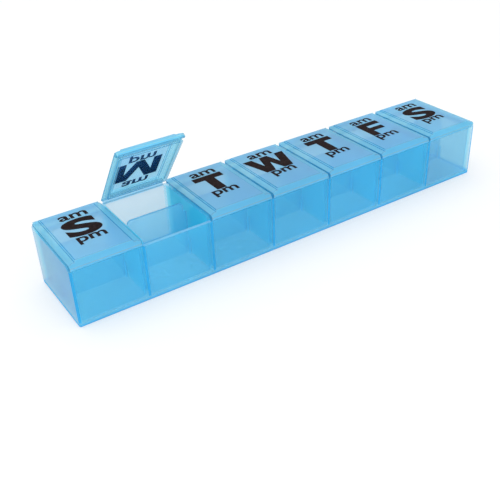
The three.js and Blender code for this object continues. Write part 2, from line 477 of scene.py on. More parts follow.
@dataclass(frozen=True)
class TintedPlastic:
    """Tinted see-through plastic with a thin haze, darker where light has a long way through it.

    Attributes:
        shade: the shade of the whole piece, or nothing where each face has its own.
        depth_colour: the colour that is left after a long way through the plastic.
        depth_rate: how quickly the plastic takes up light, for each metre.
        edge_veil: the share of the light that one surface keeps back, seen along the surface.
        edge_power: how late the haze thickens as the surface turns from the eye.
        forward_share: how much of the haze's light goes on through the surface.
        roughness: how wide the gloss spreads, and roughness_play how far the mottle moves it.
        relief: the height of the moulded waves, in metres.
        grain_share: how much of the relief is fine grain.
    """

    name: str
    shade: Shade | None = None
    depth_colour: Colour = (0.0, 0.84, 0.99)
    depth_rate: float = 200
    edge_veil: float = 0.9
    edge_power: float = 5
    forward_share: float = 0.5
    roughness: float = 0.2
    roughness_play: float = 0.05
    relief: float = 0.00002
    grain_share: float = 0.3

    def set_shade(self, nodes: Nodes, clouded: bpy.types.Node, through: bpy.types.Node,
                  veil: bpy.types.Node) -> None:
        """Sets the shade of the whole piece, or reads each face's own.

        Args:
            nodes: the material's nodes.
            clouded: scales the haze's colour.
            through: lets light through.
            veil: tells how much the haze keeps back.
        """
        if self.shade:
            clouded.inputs[0].default_value = self.shade.haze
            through.inputs["Color"].default_value = (*self.shade.tint, 1)
            veil.inputs["To Min"].default_value = self.shade.veil
            return
        haze = nodes.add("ShaderNodeAttribute", 2, 4, attribute_name=HAZE_MARK)
        tint = nodes.add("ShaderNodeAttribute", 3, 5, attribute_name=TINT_MARK)
        nodes.join(
            (haze, "Color", clouded, 0),
            (haze, "Alpha", veil, "To Min"),
            (tint, "Color", through, "Color"),
        )

    def material(self) -> bpy.types.Material:
        """Builds the finish's material."""
        material, nodes = start_material(self.name)
        place = nodes.add("ShaderNodeTexCoord", 0)
        surface = nodes.add(
            "ShaderNodeGroup", 1, 0, {"Grain Share": self.grain_share}, node_tree=moulding_group())
        cloud = nodes.add("ShaderNodeMapRange", 2, 0, {"To Min": 0.86, "To Max": 1.1})
        clouded = nodes.add("ShaderNodeVectorMath", 4, 0, operation="SCALE")
        rough = nodes.add("ShaderNodeMapRange", 2, 1, {
            "To Min": self.roughness - self.roughness_play,
            "To Max": self.roughness + self.roughness_play,
        })
        bump = nodes.add("ShaderNodeBump", 2, 2, {"Strength": 0.5, "Distance": self.relief})
        slant = nodes.add("ShaderNodeLayerWeight", 0, 3)
        steep = nodes.add("ShaderNodeMath", 1, 3, {1: self.edge_power}, operation="POWER")
        veil = nodes.add("ShaderNodeMapRange", 4, 3, {"To Max": self.edge_veil})
        through = nodes.add("ShaderNodeBsdfTransparent", 5, 4)
        shell = nodes.add("ShaderNodeBsdfPrincipled", 5, 0, {"IOR": 1.49})
        onward = nodes.add("ShaderNodeBsdfTranslucent", 5, 3)
        film = nodes.add("ShaderNodeMixShader", 6, 1, {"Fac": self.forward_share})
        both = nodes.add("ShaderNodeMixShader", 6)
        inside = nodes.add("ShaderNodeVolumeAbsorption", 6, 3, {
            "Color": (*self.depth_colour, 1), "Density": self.depth_rate,
        })
        out = nodes.add("ShaderNodeOutputMaterial", 7)
        self.set_shade(nodes, clouded, through, veil)
        nodes.join(
            (place, "Object", surface, "Vector"),
            (surface, "Mottle", cloud, "Value"),
            (cloud, "Result", clouded, "Scale"),
            (surface, "Mottle", rough, "Value"),
            (surface, "Height", bump, "Height"),
            (slant, "Facing", steep, 0),
            (steep, "Value", veil, "Value"),
            (clouded, "Vector", shell, "Base Color"),
            (rough, "Result", shell, "Roughness"),
            (bump, "Normal", shell, "Normal"),
            (veil, "Result", both, "Fac"),
            (through, "BSDF", both, 1),
            (clouded, "Vector", onward, "Color"),
            (shell, "BSDF", film, 1),
            (onward, "BSDF", film, 2),
            (film, "Shader", both, 2),
            (both, "Shader", out, "Surface"),
            (inside, "Volume", out, "Volume"),
        )
        return material


@dataclass(frozen=True)
class PrintedInk:
    """Black pad-printed ink, with the slight unevenness of a printed film.

    Attributes:
        full: the ink's colour where the film is full.
        thin: its colour where the film is thinner.
    """

    name: str = "printed ink"
    full: Colour = (0.012, 0.006, 0.006)
    thin: Colour = (0.03, 0.019, 0.02)
    roughness: float = 0.8

    def material(self) -> bpy.types.Material:
        """Builds the finish's material."""
        material, nodes = start_material(self.name)
        place = nodes.add("ShaderNodeTexCoord", 0)
        film = nodes.add("ShaderNodeTexNoise", 1, 0, {"Scale": 900, "Detail": 5})
        spread = nodes.add("ShaderNodeMapRange", 2, 1, {"From Min": 0.45, "From Max": 0.8})
        colour = nodes.add(
            "ShaderNodeMix", 3, 0, {"A": (*self.full, 1), "B": (*self.thin, 1)}, data_type="RGBA")
        bump = nodes.add("ShaderNodeBump", 3, 1, {"Strength": 0.3, "Distance": 0.00001})
        ink = nodes.add("ShaderNodeBsdfPrincipled", 4, 0, {
            "Roughness": self.roughness, "Specular IOR Level": 0.08,
        })
        out = nodes.add("ShaderNodeOutputMaterial", 5)
        nodes.join(
            (place, "Object", film, "Vector"),
            (film, "Fac", spread, "Value"),
            (spread, "Result", colour, "Factor"),
            (film, "Fac", bump, "Height"),
            (colour, "Result", ink, "Base Color"),
            (bump, "Normal", ink, "Normal"),
            (ink, "BSDF", out, "Surface"),
        )
        return material


# The organizer, in millimetres. An edge or a corner is the radius of a rounding, and a shade is
# how the part that it is named after looks; several shades also paint light and shade into the
# plastic, as their notes say.


@dataclass(frozen=True)
class RowPlan:
    """The sizes that the tray, the lids and the dividers share.

    Attributes:
        pitch: from one bay to the next.
        depth: the tray from front to rear.
        rim: the height of the rear and side walls.
        front_rim: the height of the front wall.
        partition: the thickness of a wall between two bays.
        slope_run: how far the partitions' tops slope down towards the front wall.
        rest_gap: the gap under a shut lid.
        side_gap: the gap from a lid to the middle of a partition.
        hinge_back: how far the hinge line lies behind the rear wall.
        open_angle: how far the lid of the open day stands open, in degrees.
    """

    pitch: float = 30.0
    depth: float = 38.5
    rim: float = 26.4
    front_rim: float = 24.9
    wall: float = 1.5
    partition: float = 1.5
    floor: float = 1.6
    slope_run: float = 1.4
    rest_gap: float = 0.3
    side_gap: float = 0.35
    hinge_back: float = 0.45
    open_day: Day = Day.MONDAY
    open_angle: float = 53.0

    @property
    def length(self) -> float:
        """The tray from end to end."""
        return self.pitch * len(Day)

    @property
    def front(self) -> float:
        """The front wall's outer face."""
        return -self.depth / 2

    @property
    def rear(self) -> float:
        """The rear wall's outer face."""
        return self.depth / 2

    @property
    def bay_front(self) -> float:
        """The front wall's inner face."""
        return self.front + self.wall

    @property
    def bay_rear(self) -> float:
        """The rear wall's inner face."""
        return self.rear - self.wall

    @property
    def hinge(self) -> Span:
        """The hinge line's place in Y and Z."""
        return self.rear + self.hinge_back, self.rim + self.rest_gap / 2

    @property
    def meetings(self) -> list[float]:
        """Where two bays meet."""
        return [self.start(day) for day in list(Day)[1:]]

    def start(self, day: Day) -> float:
        """Where a day's share of the row begins."""
        return list(Day).index(day) * self.pitch - self.length / 2

    def to_boundary(self, x: float) -> float:
        """How far a place along the row is from where two shares meet, or from an end."""
        inside = (x + self.length / 2) % self.pitch
        return min(inside, self.pitch - inside)

    def bay(self, day: Day) -> Span:
        """The inner faces of a bay, left and right."""
        low = self.start(day)
        left = low + (self.wall if day is Day.SUNDAY else self.partition / 2)
        right = low + self.pitch - (self.wall if day is Day.SATURDAY else self.partition / 2)
        return left, right

    def cover(self, day: Day, setback: float = 0.0) -> Span:
        """The sides of a day's lid, or of what is set back from them, left and right."""
        low = self.start(day)
        return low + self.side_gap + setback, low + self.pitch - self.side_gap - setback

    def opening(self) -> Matrix:
        """The turn that opens a shut lid to where the open one stands."""
        there = Matrix.Translation((0, *self.hinge))
        return there @ Matrix.Rotation(-math.radians(self.open_angle), 4, "X") @ there.inverted()


@dataclass
class Moulding:
    """A moulded part of the organizer.

    Attributes:
        plan: the shared sizes.
        finish: what it is moulded in.
    """

    plan: RowPlan
    finish: bpy.types.Material


@dataclass
class Tray(Moulding):
    """The tray: one moulding of floor, walls, partitions and the guide ribs of the dividers.

    Attributes:
        foot: the rounding round the underside.
        crease: the angle in degrees over which an edge of the rim is rounded.
        guide_proud: how far a guide rib stands out from the partition.
        guide_gap: from the middle of the bay to a rib.
        rind: how far in a point still counts as on the outer faces.
        fine: the width under which a face is part of a rounding.
        line_half: half the width of the painted dark line for a partition's end on the front wall.
        foot_line: the height of the painted dark line along its foot.
        end_line: the width of the painted dark line at each end of the front wall.
        last_shade: painted light: its front wall at the last bay is paler, for the light that comes
        in through the clear end beside it.
        line_shade: painted shade: darker lines on its edges, and on the front wall where the
        partitions' ends show through it.
        sill_shade: for its outer faces beside the floor.
        rim_shade: a painted highlight along the top of the front wall in the open bay.
    """

    corner: float = 0.8
    bay_corner: float = 1.2
    floor_fillet: float = 0.3
    foot: float = 0.25
    edge: float = 0.26
    crease: float = 28.0
    guide_proud: float = 1.0
    guide_width: float = 1.0
    guide_gap: float = 0.8
    guide_top: float = 8.6
    guide_edge: float = 0.2
    rind: float = 0.5
    fine: float = 0.35
    line_half: float = 0.55
    foot_line: float = 1.0
    end_line: float = 1.0
    wall_shade: Shade = Shade((0.965, 0.985, 1.0), (0.24, 0.79, 1.0), 0.31)
    last_shade: Shade = Shade((0.985, 0.975, 0.98), (0.5, 0.76, 0.92), 0.27)
    # Painted light in part: a paler haze than the walls, which lightens the bays through the front.
    floor_shade: Shade = Shade((0.985, 0.98, 0.985), (0.6, 0.83, 0.95), 0.3)
    # Painted light in part: a pale haze for the white that the thin end walls reflect and let
    # through.
    end_shade: Shade = Shade((0.985, 0.965, 0.965), (0.87, 0.87, 0.9), 0.35)
    # Painted light in part: a near-white haze for the light behind the rear wall shining through
    # it.
    rear_shade: Shade = Shade((1.0, 0.965, 0.97), (0.99, 0.86, 0.89), 0.3)
    # Painted light in part: a brighter blue haze than the walls, for the light inside the bays.
    partition_shade: Shade = Shade((0.88, 0.985, 1.0), (0.13, 0.89, 1.0), 0.47)
    # Painted shade: dark lines on its edges, foot and ends, and at the partitions' ends.
    line_shade: Shade = Shade((0.7, 0.88, 0.97), (0.05, 0.55, 0.92), 0.7)
    sill_shade: Shade = Shade((0.8, 0.94, 0.98), (0.2, 0.72, 0.95), 0.55)
    # Painted highlight: a pale line along the top of the front wall in the open bay.
    rim_shade: Shade = Shade((0.95, 0.98, 0.99), (0.65, 0.88, 0.97), 0.4)

    def pocket(self, day: Day) -> Bench:
        """Shapes what is taken out of the block for one bay.

        Args:
            day: the bay's day.

        Returns:
            The pocket, as a body.
        """
        plan = self.plan
        left, right = plan.bay(day)
        body = Bench.block(
            f"pocket_{day.key}",
            (left, plan.bay_front, plan.floor), (right, plan.bay_rear, plan.rim + CLEAR),
        ).edit()
        body.round_upright(self.bay_corner, 5)
        body.round_foot(self.floor_fillet, 4, plan.floor)
        return body.leave()

    def guides(self, day: Day) -> list[Bench]:
        """Shapes the four upright ribs of one bay.

        Args:
            day: the bay's day.

        Returns:
            The ribs.
        """
        left, right = self.plan.bay(day)
        root = self.plan.partition / 4
        near, far = self.guide_gap, self.guide_gap + self.guide_width
        sides = ((left - root, left + self.guide_proud), (right - self.guide_proud, right + root))
        ribs = []
        for side, (low, high) in enumerate(sides):
            tip = low if side else high
            for front, rear in ((near, far), (-far, -near)):
                rib = Bench.block(
                    f"rib_{day.key}_{side}",
                    (low, front, self.plan.floor / 2), (high, rear, self.guide_top),
                ).edit()
                rib.round_off(self.guide_edge, 3, lambda a, b, _: (
                    same(a.x, tip) and same(b.x, tip) and max(a.z, b.z) > self.guide_top - NEAR))
                ribs.append(rib.leave())
        return ribs

    def draw_lines(self, tray: Bench) -> None:
        """Scores the outer faces for the painted dark lines at the partitions' ends, the tray's
        ends and its foot, for the band beside the floor, and for the ends of the open bay's painted
        highlight.

        Args:
            tray: the tray on the bench.
        """
        plan = self.plan
        half = plan.length / 2
        across = [x + side for x in plan.meetings for side in (-self.line_half, self.line_half)]
        tray.edit()
        for x in (*across, self.end_line - half, half - self.end_line):
            tray.pick_faces(
                lambda centre, normal: normal.y < -FACING and centre.y < plan.front + SKIN)
            tray.score((x, 0, 0), (1, 0, 0))
        for z in (self.foot_line, plan.floor + self.edge):
            tray.pick_faces(
                lambda centre, normal: abs(normal.z) < ALONG and self.is_outside(centre))
            tray.score((0, 0, z), (0, 0, 1))
        # Marks where the open bay's painted rim highlight begins and ends.
        for x in (plan.start(plan.open_day), plan.start(plan.open_day) + plan.pitch):
            tray.pick_faces(lambda centre, _: self.is_front_rim(centre))
            tray.score((x, 0, 0), (1, 0, 0))
        tray.leave()

    def is_front_rim(self, centre: Vector) -> bool:
        """Tells whether a point is on top of the front wall."""
        plan = self.plan
        return centre.z > plan.front_rim - self.edge and centre.y < plan.bay_front + NEAR

    def is_outside(self, centre: Vector) -> bool:
        """Tells whether a point is on the tray's outer faces."""
        plan = self.plan
        return (abs(centre.x) > plan.length / 2 - self.rind
                or abs(centre.y) > plan.rear - self.rind)

    def is_edge(self, facet: Facet) -> bool:
        """Tells whether a face is part of a rounding, or of a painted dark line on the front wall.

        Args:
            facet: the face.

        Returns:
            Whether it looks like an edge.
        """
        plan, at = self.plan, facet.centre
        to_meeting = min(abs(at.x - x) for x in plan.meetings)
        to_end = plan.length / 2 - abs(at.x)
        is_painted_line = to_meeting < self.line_half or to_end < self.end_line
        if at.y < plan.front + SKIN and is_painted_line:
            return True
        is_low = at.z < plan.floor + self.floor_fillet + SKIN
        return facet.width < self.fine and (self.is_outside(at) or not is_low)

    def shade_of(self, facet: Facet) -> Shade:
        """Chooses the shade of a face.

        Args:
            facet: the face.

        Returns:
            Its shade.
        """
        plan = self.plan
        at, normal = facet.centre, facet.normal
        if self.is_outside(at) and at.z < self.foot_line:
            return self.line_shade
        # The rear wall gets painted light.
        if at.y > plan.bay_rear - self.rind and abs(normal.y) > FACING:
            return self.rear_shade
        if self.is_outside(at) and at.z < plan.floor + self.edge:
            return self.sill_shade
        # The top of the front wall gets a painted highlight in the open bay.
        if self.is_front_rim(at):
            is_open = 0 < at.x - plan.start(plan.open_day) < plan.pitch
            return self.rim_shade if is_open else self.wall_shade
        if self.is_edge(facet):
            return self.line_shade
        if abs(normal.x) > FACING:
            # End walls get painted light; partitions get their own shade.
            is_end = abs(at.x) > plan.length / 2 - plan.wall - SKIN
            return self.end_shade if is_end else self.partition_shade
        if abs(normal.z) > FACING and at.z < plan.floor + SKIN:
            return self.floor_shade
        is_front = abs(normal.y) > FACING and at.y < plan.bay_front + SKIN
        # The last bay's front wall gets painted light from the clear end beside it.
        is_last = is_front and at.x > plan.start(Day.SATURDAY)
        return self.last_shade if is_last else self.wall_shade

    def shell(self) -> Bench:
        """Shapes the block that the bays are taken out of, with its front rim sloped down.

        Returns:
            The block on the bench.
        """
        plan = self.plan
        half = plan.length / 2
        tray = Bench.block("tray_shell", (-half, plan.front, 0), (half, plan.rear, plan.rim)).edit()
        tray.round_upright(self.corner, 6)
        tray.round_foot(self.foot, 3, 0)
        tray.leave()
        slope = plan.bay_front + plan.slope_run
        corners = (
            (plan.front - CLEAR, plan.front_rim), (plan.bay_front, plan.front_rim),
            (slope, plan.rim), (slope, plan.rim + CLEAR), (plan.front - CLEAR, plan.rim + CLEAR),
        )
        wedge = Bench.section(
            "rim_wedge", [(-half - CLEAR, y, z) for y, z in corners],
            (plan.length + 2 * CLEAR, 0, 0),
        )
        return tray.combine(wedge, "DIFFERENCE")

    def build(self) -> bpy.types.Object:
        """Builds the tray.

        Returns:
            The finished tray, riding on its body.
        """
        tray = self.shell()
        pockets = [self.pocket(day) for day in Day]
        tray.combine(pockets[0].take_in(pockets[1:]), "DIFFERENCE")
        ribs = [rib for day in Day for rib in self.guides(day)]
        tray.combine(ribs[0].take_in(ribs[1:]), "UNION")
        tray.tidy().edit()
        lowest = self.plan.front_rim - SKIN / 2
        found = tray.round_off(self.edge, 3, lambda a, b, angle: (
            angle > math.radians(self.crease) and min(a.z, b.z) > lowest))
        log.info("tray: %d rim edges rounded", found)
        tray.leave()
        self.draw_lines(tray)
        tray.shade(self.shade_of)
        piece = tray.finish(self.finish, smooth_under=35)
        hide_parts(*(f"tray_bay_{day.key}" for day in Day))
        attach(piece, "tray")
        return piece


@dataclass
class Divider(Moulding):
    """The upright plate that parts a bay's two spaces.

    Attributes:
        shoulder: the height at which its ends step in.
        set_in: how far its ends stand in from the bay's walls over the shoulder.
        slot_gap: the same under the shoulder.
        foot_cut: how much its lower corners are cut off.
        corner: the radius of its upper corners.
        crease: the angle in degrees over which an edge is rounded.
        top_from: the height from which a face that looks up gets the painted line of its top edge.
        top_lean: how much of such a face's normal points up.
    """

    thickness: float = 1.2
    shoulder: float = 21.5
    set_in: float = 1.6
    slot_gap: float = 0.2
    foot_gap: float = 0.1
    foot_cut: float = 1.0
    rim_gap: float = 0.4
    corner: float = 1.8
    edge: float = 0.2
    crease: float = 60.0
    top_from: float = 22.5
    top_lean: float = 0.3
    face_shade: Shade = Shade((0.92, 0.98, 0.99), (0.4, 0.77, 0.97), 0.3)
    # Painted shade: a darker line along the top edge.
    edge_shade: Shade = Shade((0.75, 0.9, 0.96), (0.15, 0.5, 0.8), 0.4)

    def shade_of(self, facet: Facet) -> Shade:
        """Chooses the shade of a face."""
        is_top = facet.normal.z > self.top_lean and facet.centre.z > self.top_from
        return self.edge_shade if is_top else self.face_shade

    def build(self, day: Day) -> bpy.types.Object:
        """Builds one day's divider.

        Args:
            day: the bay's day.

        Returns:
            The finished plate, riding on the tray's body.
        """
        left, right = self.plan.bay(day)
        foot, top = self.plan.floor + self.foot_gap, self.plan.rim - self.rim_gap
        wide_left, wide_right = left + self.slot_gap, right - self.slot_gap
        narrow_left, narrow_right = left + self.set_in, right - self.set_in
        corners = (
            (wide_left + self.foot_cut, foot), (wide_right - self.foot_cut, foot),
            (wide_right, foot + self.foot_cut), (wide_right, self.shoulder),
            (narrow_right, self.shoulder), (narrow_right, top),
            (narrow_left, top), (narrow_left, self.shoulder),
            (wide_left, self.shoulder), (wide_left, foot + self.foot_cut),
        )
        plate = Bench.section(
            f"divider_plate_{day.key}", [(x, -self.thickness / 2, z) for x, z in corners],
            (0, self.thickness, 0),
        ).edit()
        plate.round_off(
            self.corner, 7, lambda a, b, _: min(a.z, b.z) > top - NEAR and same(a.x, b.x))
        plate.round_off(self.edge, 3, lambda a, b, angle: (
            angle > math.radians(self.crease) and same(a.y, b.y)))
        plate.leave()
        plate.shade(self.shade_of)
        piece = plate.finish(self.finish)
        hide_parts(f"divider_{day.key}")
        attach(piece, "tray")
        return piece


@dataclass
class Lid(Moulding):
    """A lid: a raised panel in a bevelled border, a sloped nose with a lip, and a locating frame.

    The frame hangs under the lid and drops in the bay, and a hollow lies behind the panel.

    Attributes:
        plate: the thickness of the border.
        rise: how far the panel stands above it.
        panel_side: from the lid's side to the panel.
        riser_run: how wide the slope from the border up to the panel is.
        bevel_run: how wide the bevel along the border is.
        lip_face: the height of the upright face at the tip of the lip.
        crease: the angle in degrees over which an edge is rounded.
        frame_root: how far the frame reaches up into the lid.
        frame_setback: from the bay's rear wall to the frame.
        core_corner: the radius of the frame's inner corners.
        recess_inset: from the frame and the panel's edge in to the hollow.
        fine_edge: the rounding along the foot of the frame.
        side_play: how far past the rounding a face still counts as on the lid's side.
        fine: the width under which a face is part of a rounding.
        gleam_lean: how far an edge's normal points forwards where it gets a painted highlight.
        level: how much of the panel's normal points up.
        line_shade: painted dark lines on its edges, apart from the front ones, which have
            gleam_shade.
    """

    plate: float = 1.0
    rise: float = 0.7
    panel_side: float = 3.2
    panel_front: float = 1.8
    panel_rear: float = 0.9
    riser_run: float = 0.4
    bevel_run: float = 1.6
    bevel_drop: float = 0.5
    lip_face: float = 1.0
    corner: float = 0.6
    crease: float = 24.0
    frame_gap: float = 0.35
    frame_wall: float = 1.0
    frame_drop: float = 2.2
    frame_root: float = 0.4
    frame_setback: float = 3.0
    frame_corner: float = 0.9
    core_corner: float = 0.6
    recess_inset: float = 0.9
    recess_edge: float = 0.5
    edge: float = 0.24
    fine_edge: float = 0.16
    side_play: float = 0.02
    fine: float = 0.25
    gleam_lean: float = 0.25
    level: float = 0.99
    border_shade: Shade = Shade((0.95, 0.98, 0.995), (0.43, 0.89, 1.0), 0.54)
    nose_shade: Shade = Shade((0.78, 0.93, 0.97), (0.26, 0.74, 0.94), 0.76)
    # Painted shade: darker sides, which deepen the gaps between the lids and their outlines.
    side_shade: Shade = Shade((0.66, 0.82, 0.9), (0.1, 0.42, 0.62), 0.55)
    # Painted shade in part: a darker, greyer haze under the lip.
    lip_shade: Shade = Shade((0.84, 0.93, 0.95), (0.3, 0.62, 0.8), 0.5)
    frame_shade: Shade = Shade((0.93, 0.955, 0.955), (0.46, 0.7, 0.8), 0.33)
    panel_shade: Shade = Shade((0.98, 0.97, 0.975), (0.46, 0.8, 1.0), 0.56)
    # Painted shade in part: a darker, greyer haze on the faces that look down.
    under_shade: Shade = Shade((0.94, 0.95, 0.945), (0.36, 0.58, 0.75), 0.27)
    hollow_shade: Shade = Shade((0.97, 0.94, 0.9), (0.05, 0.3, 0.85), 0.13)
    # Painted shade: dark lines on the lid's edges.
    line_shade: Shade = Shade((0.78, 0.9, 0.95), (0.12, 0.47, 0.75), 0.5)
    # Painted highlight: a pale line along the front edges of the lid.
    gleam_shade: Shade = Shade((0.93, 0.99, 1.0), (0.6, 0.95, 1.0), 0.5)

    @property
    def under(self) -> float:
        """The height of the lid's underside when shut."""
        return self.plan.rim + self.plan.rest_gap

    @property
    def shoulder(self) -> float:
        """The height of the border."""
        return self.under + self.plate

    @property
    def top(self) -> float:
        """The height of the panel."""
        return self.shoulder + self.rise

    @property
    def lip(self) -> float:
        """The height of the lip's lower edge."""
        return self.plan.front_rim + self.plan.rest_gap

    @property
    def slope_foot(self) -> float:
        """Where the lip's slope meets the underside, from front to rear."""
        return self.plan.bay_front + self.plan.slope_run

    def crown(self, inset: float) -> float:
        """How high the lid may be at a distance from its side.

        Args:
            inset: the distance in from the lid's side.

        Returns:
            The height there.
        """
        if inset >= self.panel_side - MERGE:
            return self.top
        edge = self.shoulder - self.bevel_drop
        return min(self.shoulder, edge + self.bevel_drop * inset / self.bevel_run)

    def outer_form(self, day: Day) -> Bench:
        """Shapes the lid's outside: nose, lip, border and panel, with their edges rounded.

        Args:
            day: the lid's day.

        Returns:
            The lid on the bench.
        """
        plan = self.plan
        left, right = plan.cover(day)
        nose_low = self.lip + self.lip_face
        corners = (
            (plan.front, self.lip), (plan.bay_front, self.lip), (self.slope_foot, self.under),
            (plan.rear, self.under), (plan.rear, self.shoulder),
            (plan.rear - self.panel_rear, self.top), (plan.front + self.panel_front, self.top),
            (plan.front, nose_low),
        )
        lid = Bench.section(
            f"lid_cover_{day.key}", [(left, y, z) for y, z in corners], (right - left, 0, 0),
        ).edit()
        for inset in (self.bevel_run, self.panel_side - self.riser_run, self.panel_side):
            for x in (left + inset, right - inset):
                bpy.ops.mesh.select_all(action="SELECT")
                lid.score((x, 0, 0), (1, 0, 0))

        def drape(point: Vector) -> Vector:
            """Lowers a point to the border, along the nose's slope where it lies on it."""
            height = self.crown(min(point.x - left, right - point.x))
            if point.z <= height:
                return point
            if point.y < 0:
                share = (height - nose_low) / (self.top - nose_low)
                point.y = plan.front + self.panel_front * share
            point.z = height
            return point

        lid.settle(drape)
        lid.round_off(self.corner, 5, lambda a, b, _: (
            same(a.x, b.x) and same(a.y, b.y)
            and min(a.x - left, right - a.x) < NEAR and same(abs(a.y), plan.rear)))
        lid.round_off(self.edge, 3, lambda a, b, angle: angle > math.radians(self.crease))
        return lid.leave()

    def underside(self, lid: Bench, day: Day) -> None:
        """Shapes the frame that drops in the bay and the hollow behind the panel.

        Args:
            lid: the lid on the bench.
            day: its day.
        """
        plan, gap, wall, inset = self.plan, self.frame_gap, self.frame_wall, self.recess_inset
        (left, right), (bay_left, bay_right) = plan.cover(day), plan.bay(day)
        low = bay_left + gap, plan.bay_front + gap
        high = bay_right - gap, plan.bay_rear - self.frame_setback
        core_low, core_high = (low[0] + wall, low[1] + wall), (high[0] - wall, high[1] - wall)
        side = self.panel_side + inset
        foot = self.under - self.frame_drop
        recess = Bench.block(
            "recess", (left + side, core_low[1] + inset, self.under - CLEAR),
            (right - side, core_high[1] - inset, self.under + self.rise),
        ).edit()
        recess.round_off(self.recess_edge, 3, lambda a, b, _: max(a.z, b.z) > self.under)
        lid.combine(recess.leave(), "DIFFERENCE")

        ring = Bench.block("frame", (*low, foot), (*high, self.under + self.frame_root)).edit()
        ring.round_upright(self.frame_corner, 5)
        ring.leave()
        core = Bench.block(
            "core", (*core_low, foot - CLEAR), (*core_high, self.under + CLEAR)).edit()
        core.round_upright(self.core_corner, 4)
        ring.combine(core.leave(), "DIFFERENCE").tidy().edit()
        ring.round_foot(self.fine_edge, 3, foot)
        lid.combine(ring.leave(), "UNION")

    def build(self, day: Day) -> Bench:
        """Builds one day's lid, shut.

        Args:
            day: the lid's day.

        Returns:
            The lid on the bench, in millimetres.
        """
        lid = self.outer_form(day)
        self.underside(lid, day)
        lid.shade(self.shade_of)
        return lid

    def shade_below(self, facet: Facet) -> Shade:
        """Chooses the shade of a face that looks down.

        Args:
            facet: the face.

        Returns:
            Its shade.
        """
        if facet.centre.z > self.under + self.rise - SKIN / 2:
            return self.hollow_shade
        is_lip = facet.centre.y < self.slope_foot and facet.width > self.frame_wall
        return self.lip_shade if is_lip else self.under_shade

    def shade_of(self, facet: Facet) -> Shade:
        """Chooses the shade of a face of a shut lid.

        Args:
            facet: the face.

        Returns:
            Its shade.
        """
        plan, at, normal = self.plan, facet.centre, facet.normal
        # The lid's sides get painted shade.
        if plan.to_boundary(at.x) < plan.side_gap + self.edge + self.side_play:
            return self.side_shade
        # Narrow faces get painted shade as dark lines, and those facing forwards a painted
        # highlight.
        if facet.width < self.fine:
            is_highlight = normal.y < -self.gleam_lean and normal.z > -LEANING
            return self.gleam_shade if is_highlight else self.line_shade
        if normal.z > self.level and at.z > self.top - SKIN / 2:
            return self.panel_shade
        if normal.z < -LEANING:
            return self.shade_below(facet)
        if normal.y < -LEANING and at.y < plan.front + self.panel_front:
            return self.nose_shade
        is_frame = at.z < self.under + SKIN and at.y > plan.bay_front + self.frame_gap - SKIN
        return self.frame_shade if is_frame else self.border_shade

    def mount(self, lid: Bench, day: Day) -> bpy.types.Object:
        """Opens the lid if it is the open one, and puts it on its body.

        Args:
            lid: the shut lid on the bench.
            day: its day.

        Returns:
            The finished lid.
        """
        if day is self.plan.open_day:
            lid.turn(self.plan.opening())
        piece = lid.finish(self.finish, smooth_under=35)
        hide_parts(f"lid_{day.key}")
        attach(piece, f"lid_{day.key}")
        return piece


@dataclass
class HingeWeb(Moulding):
    """The thin web that bends as a lid swings, over the rear faces of the tray and the lid.

    Attributes:
        arm: how far it reaches on each side of the hinge line.
        reach: how far from the hinge line it bends.
        end_setback: from the lid's side to the web's end.
        steps: how many rows of faces it has.
    """

    thickness: float = 0.35
    arm: float = 1.1
    reach: float = 0.45
    end_setback: float = 0.6
    edge: float = 0.12
    steps: int = 14

    def bend(self, point: Vector) -> Vector:
        """Turns a point about the hinge line, more the further it is up the strip.

        Args:
            point: the point on the straight strip.

        Returns:
            The point on the bent one.
        """
        y, z = self.plan.hinge
        share = min(max((point.z - z + self.reach) / (2 * self.reach), 0), 1)
        turn = math.radians(self.plan.open_angle) * share * share * (3 - 2 * share)
        height = point.z - z
        depth = point.y - y
        return Vector((
            point.x,
            y + depth * math.cos(turn) + height * math.sin(turn),
            z - depth * math.sin(turn) + height * math.cos(turn),
        ))

    def build(self, day: Day) -> bpy.types.Object:
        """Builds one day's web, bent where its lid stands open.

        Args:
            day: the web's day.

        Returns:
            The finished web, which reaches from the tray to the lid.
        """
        plan, arm, reach = self.plan, self.arm, self.reach
        y, z = plan.hinge
        left, right = plan.cover(day, self.end_setback)
        web = Bench.block(
            f"web_strip_{day.key}", (left, y - self.thickness, z - arm), (right, y, z + arm),
        ).edit()
        web.round_off(self.edge, 2, lambda a, b, _: same(a.x, b.x) and same(a.z, b.z))
        for step in range(1, self.steps):
            bpy.ops.mesh.select_all(action="SELECT")
            web.score((0, 0, z - arm + 2 * arm * step / self.steps), (0, 0, 1))
        if day is plan.open_day:
            web.settle(self.bend)
        web.leave()
        piece = web.finish(self.finish)
        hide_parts(f"hinge_web_{day.key}")
        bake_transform(piece)
        return piece


